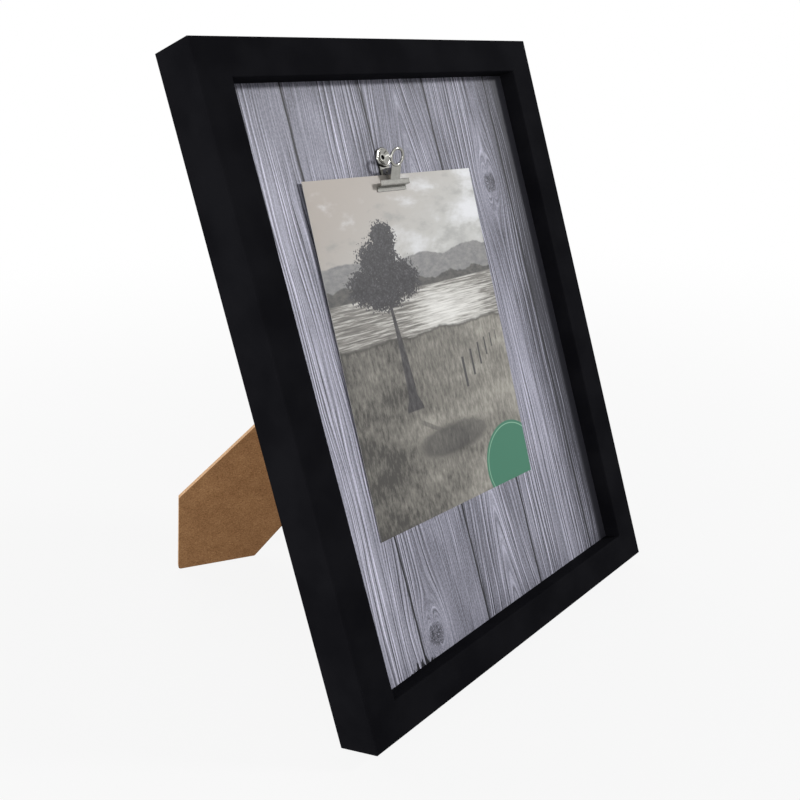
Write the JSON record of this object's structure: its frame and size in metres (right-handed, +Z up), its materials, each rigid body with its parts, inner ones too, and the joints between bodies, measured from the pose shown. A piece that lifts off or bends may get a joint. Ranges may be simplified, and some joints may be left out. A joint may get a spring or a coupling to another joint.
{
  "type": "clip frame",
  "caption": "Deep picture frame on a folding easel leg, with a ring-handled spring clip that holds a photo card on its printed board.",
  "frame": {"origin": "on the table, in the middle of the standing frame's bounding box", "axes": "+Z up, +X to the right seen from the front, +Y to the back, where the easel leg stands"},
  "size_m": [0.2476, 0.2264, 0.322],
  "materials": {
    "frame_black": "satin black lacquer on fibreboard",
    "print_paper": "satin printed paper",
    "fibreboard": "raw pressed fibreboard",
    "leg_board": "raw pressed fibreboard",
    "zinc_steel": "zinc plated",
    "nickel_steel": "nickel plated",
    "spring_steel": "drawn wire",
    "black_rubber": "matte",
    "photo_paper": "glossy photo paper"
  },
  "bodies": {
    "frame": {"left_rail": "frame_black", "right_rail": "frame_black", "top_rail": "frame_black", "bottom_rail": "frame_black", "corner_nails": "zinc_steel", "plank_print": "print_paper", "display_board": "fibreboard", "left_spacer": "fibreboard", "right_spacer": "fibreboard", "top_spacer": "fibreboard", "bottom_spacer": "fibreboard", "back_panel": "fibreboard", "button_screws": "zinc_steel", "portrait_hanger": "zinc_steel", "landscape_hanger": "zinc_steel", "hanger_nails": "zinc_steel", "corner_bumpers": "black_rubber", "hinge_panel_leaf": "zinc_steel", "hinge_pin": "zinc_steel", "panel_rivets": "zinc_steel", "clip_rear_plate": "nickel_steel", "clip_pin": "nickel_steel", "clip_spring": "spring_steel", "clip_rivet": "nickel_steel", "rivet_washer": "zinc_steel"},
    "easel": {"easel_leg": "leg_board", "hinge_leg_leaf": "zinc_steel", "leg_rivets": "zinc_steel"},
    "clip_jaw": {"clip_front_plate": "nickel_steel"},
    "photo": {"photo_card": "photo_paper"},
    "turn_button_1": {"turn_button_1": "zinc_steel"},
    "turn_button_2": {"turn_button_2": "zinc_steel"},
    "turn_button_3": {"turn_button_3": "zinc_steel"},
    "turn_button_4": {"turn_button_4": "zinc_steel"},
    "turn_button_5": {"turn_button_5": "zinc_steel"},
    "turn_button_6": {"turn_button_6": "zinc_steel"}
  },
  "joints": [
    {"name": "leg_fold", "type": "hinge", "parent": "frame", "child": "easel", "pos_m": [0.05833, -0.02506, 0.19278], "axis": [-0.7428, 0.2044, 0.6376], "range_deg": [0, 44.7]},
    {"name": "clip_squeeze", "type": "hinge", "parent": "frame", "child": "clip_jaw", "pos_m": [-0.01427, -0.02705, 0.25717], "axis": [-0.9994, 0.0108, 0.0337], "range_deg": [0, 30], "stiffness_Nm_per_rad": 0.02, "springref_deg": -28.65, "deforming": ["clip_spring"]},
    {"name": "photo_slide", "type": "slide", "parent": "frame", "child": "photo", "axis": [-0.0354, -0.2974, -0.9541], "range_m": [0, 0.02]},
    {"name": "turn_button_1_turn", "type": "hinge", "parent": "frame", "child": "turn_button_1", "pos_m": [-0.1177, -0.01272, 0.23897], "axis": [0, 0.9523, -0.3053], "range_deg": [-90, 90]},
    {"name": "turn_button_2_turn", "type": "hinge", "parent": "frame", "child": "turn_button_2", "pos_m": [-0.1177, -0.04951, 0.1242], "axis": [0, 0.9523, -0.3053], "range_deg": [-90, 90]},
    {"name": "turn_button_3_turn", "type": "hinge", "parent": "frame", "child": "turn_button_3", "pos_m": [0.1177, -0.01272, 0.23897], "axis": [0, 0.9523, -0.3053], "range_deg": [-90, 90]},
    {"name": "turn_button_4_turn", "type": "hinge", "parent": "frame", "child": "turn_button_4", "pos_m": [0.1177, -0.06514, 0.07546], "axis": [0, 0.9523, -0.3053], "range_deg": [-90, 90]},
    {"name": "turn_button_5_turn", "type": "hinge", "parent": "frame", "child": "turn_button_5", "pos_m": [-0.0619, 0.00961, 0.30863], "axis": [0, 0.9523, -0.3053], "range_deg": [-90, 90]},
    {"name": "turn_button_6_turn", "type": "hinge", "parent": "frame", "child": "turn_button_6", "pos_m": [0.04209, -0.08747, 0.00581], "axis": [0, 0.9523, -0.3053], "range_deg": [-90, 90]}
  ]
}
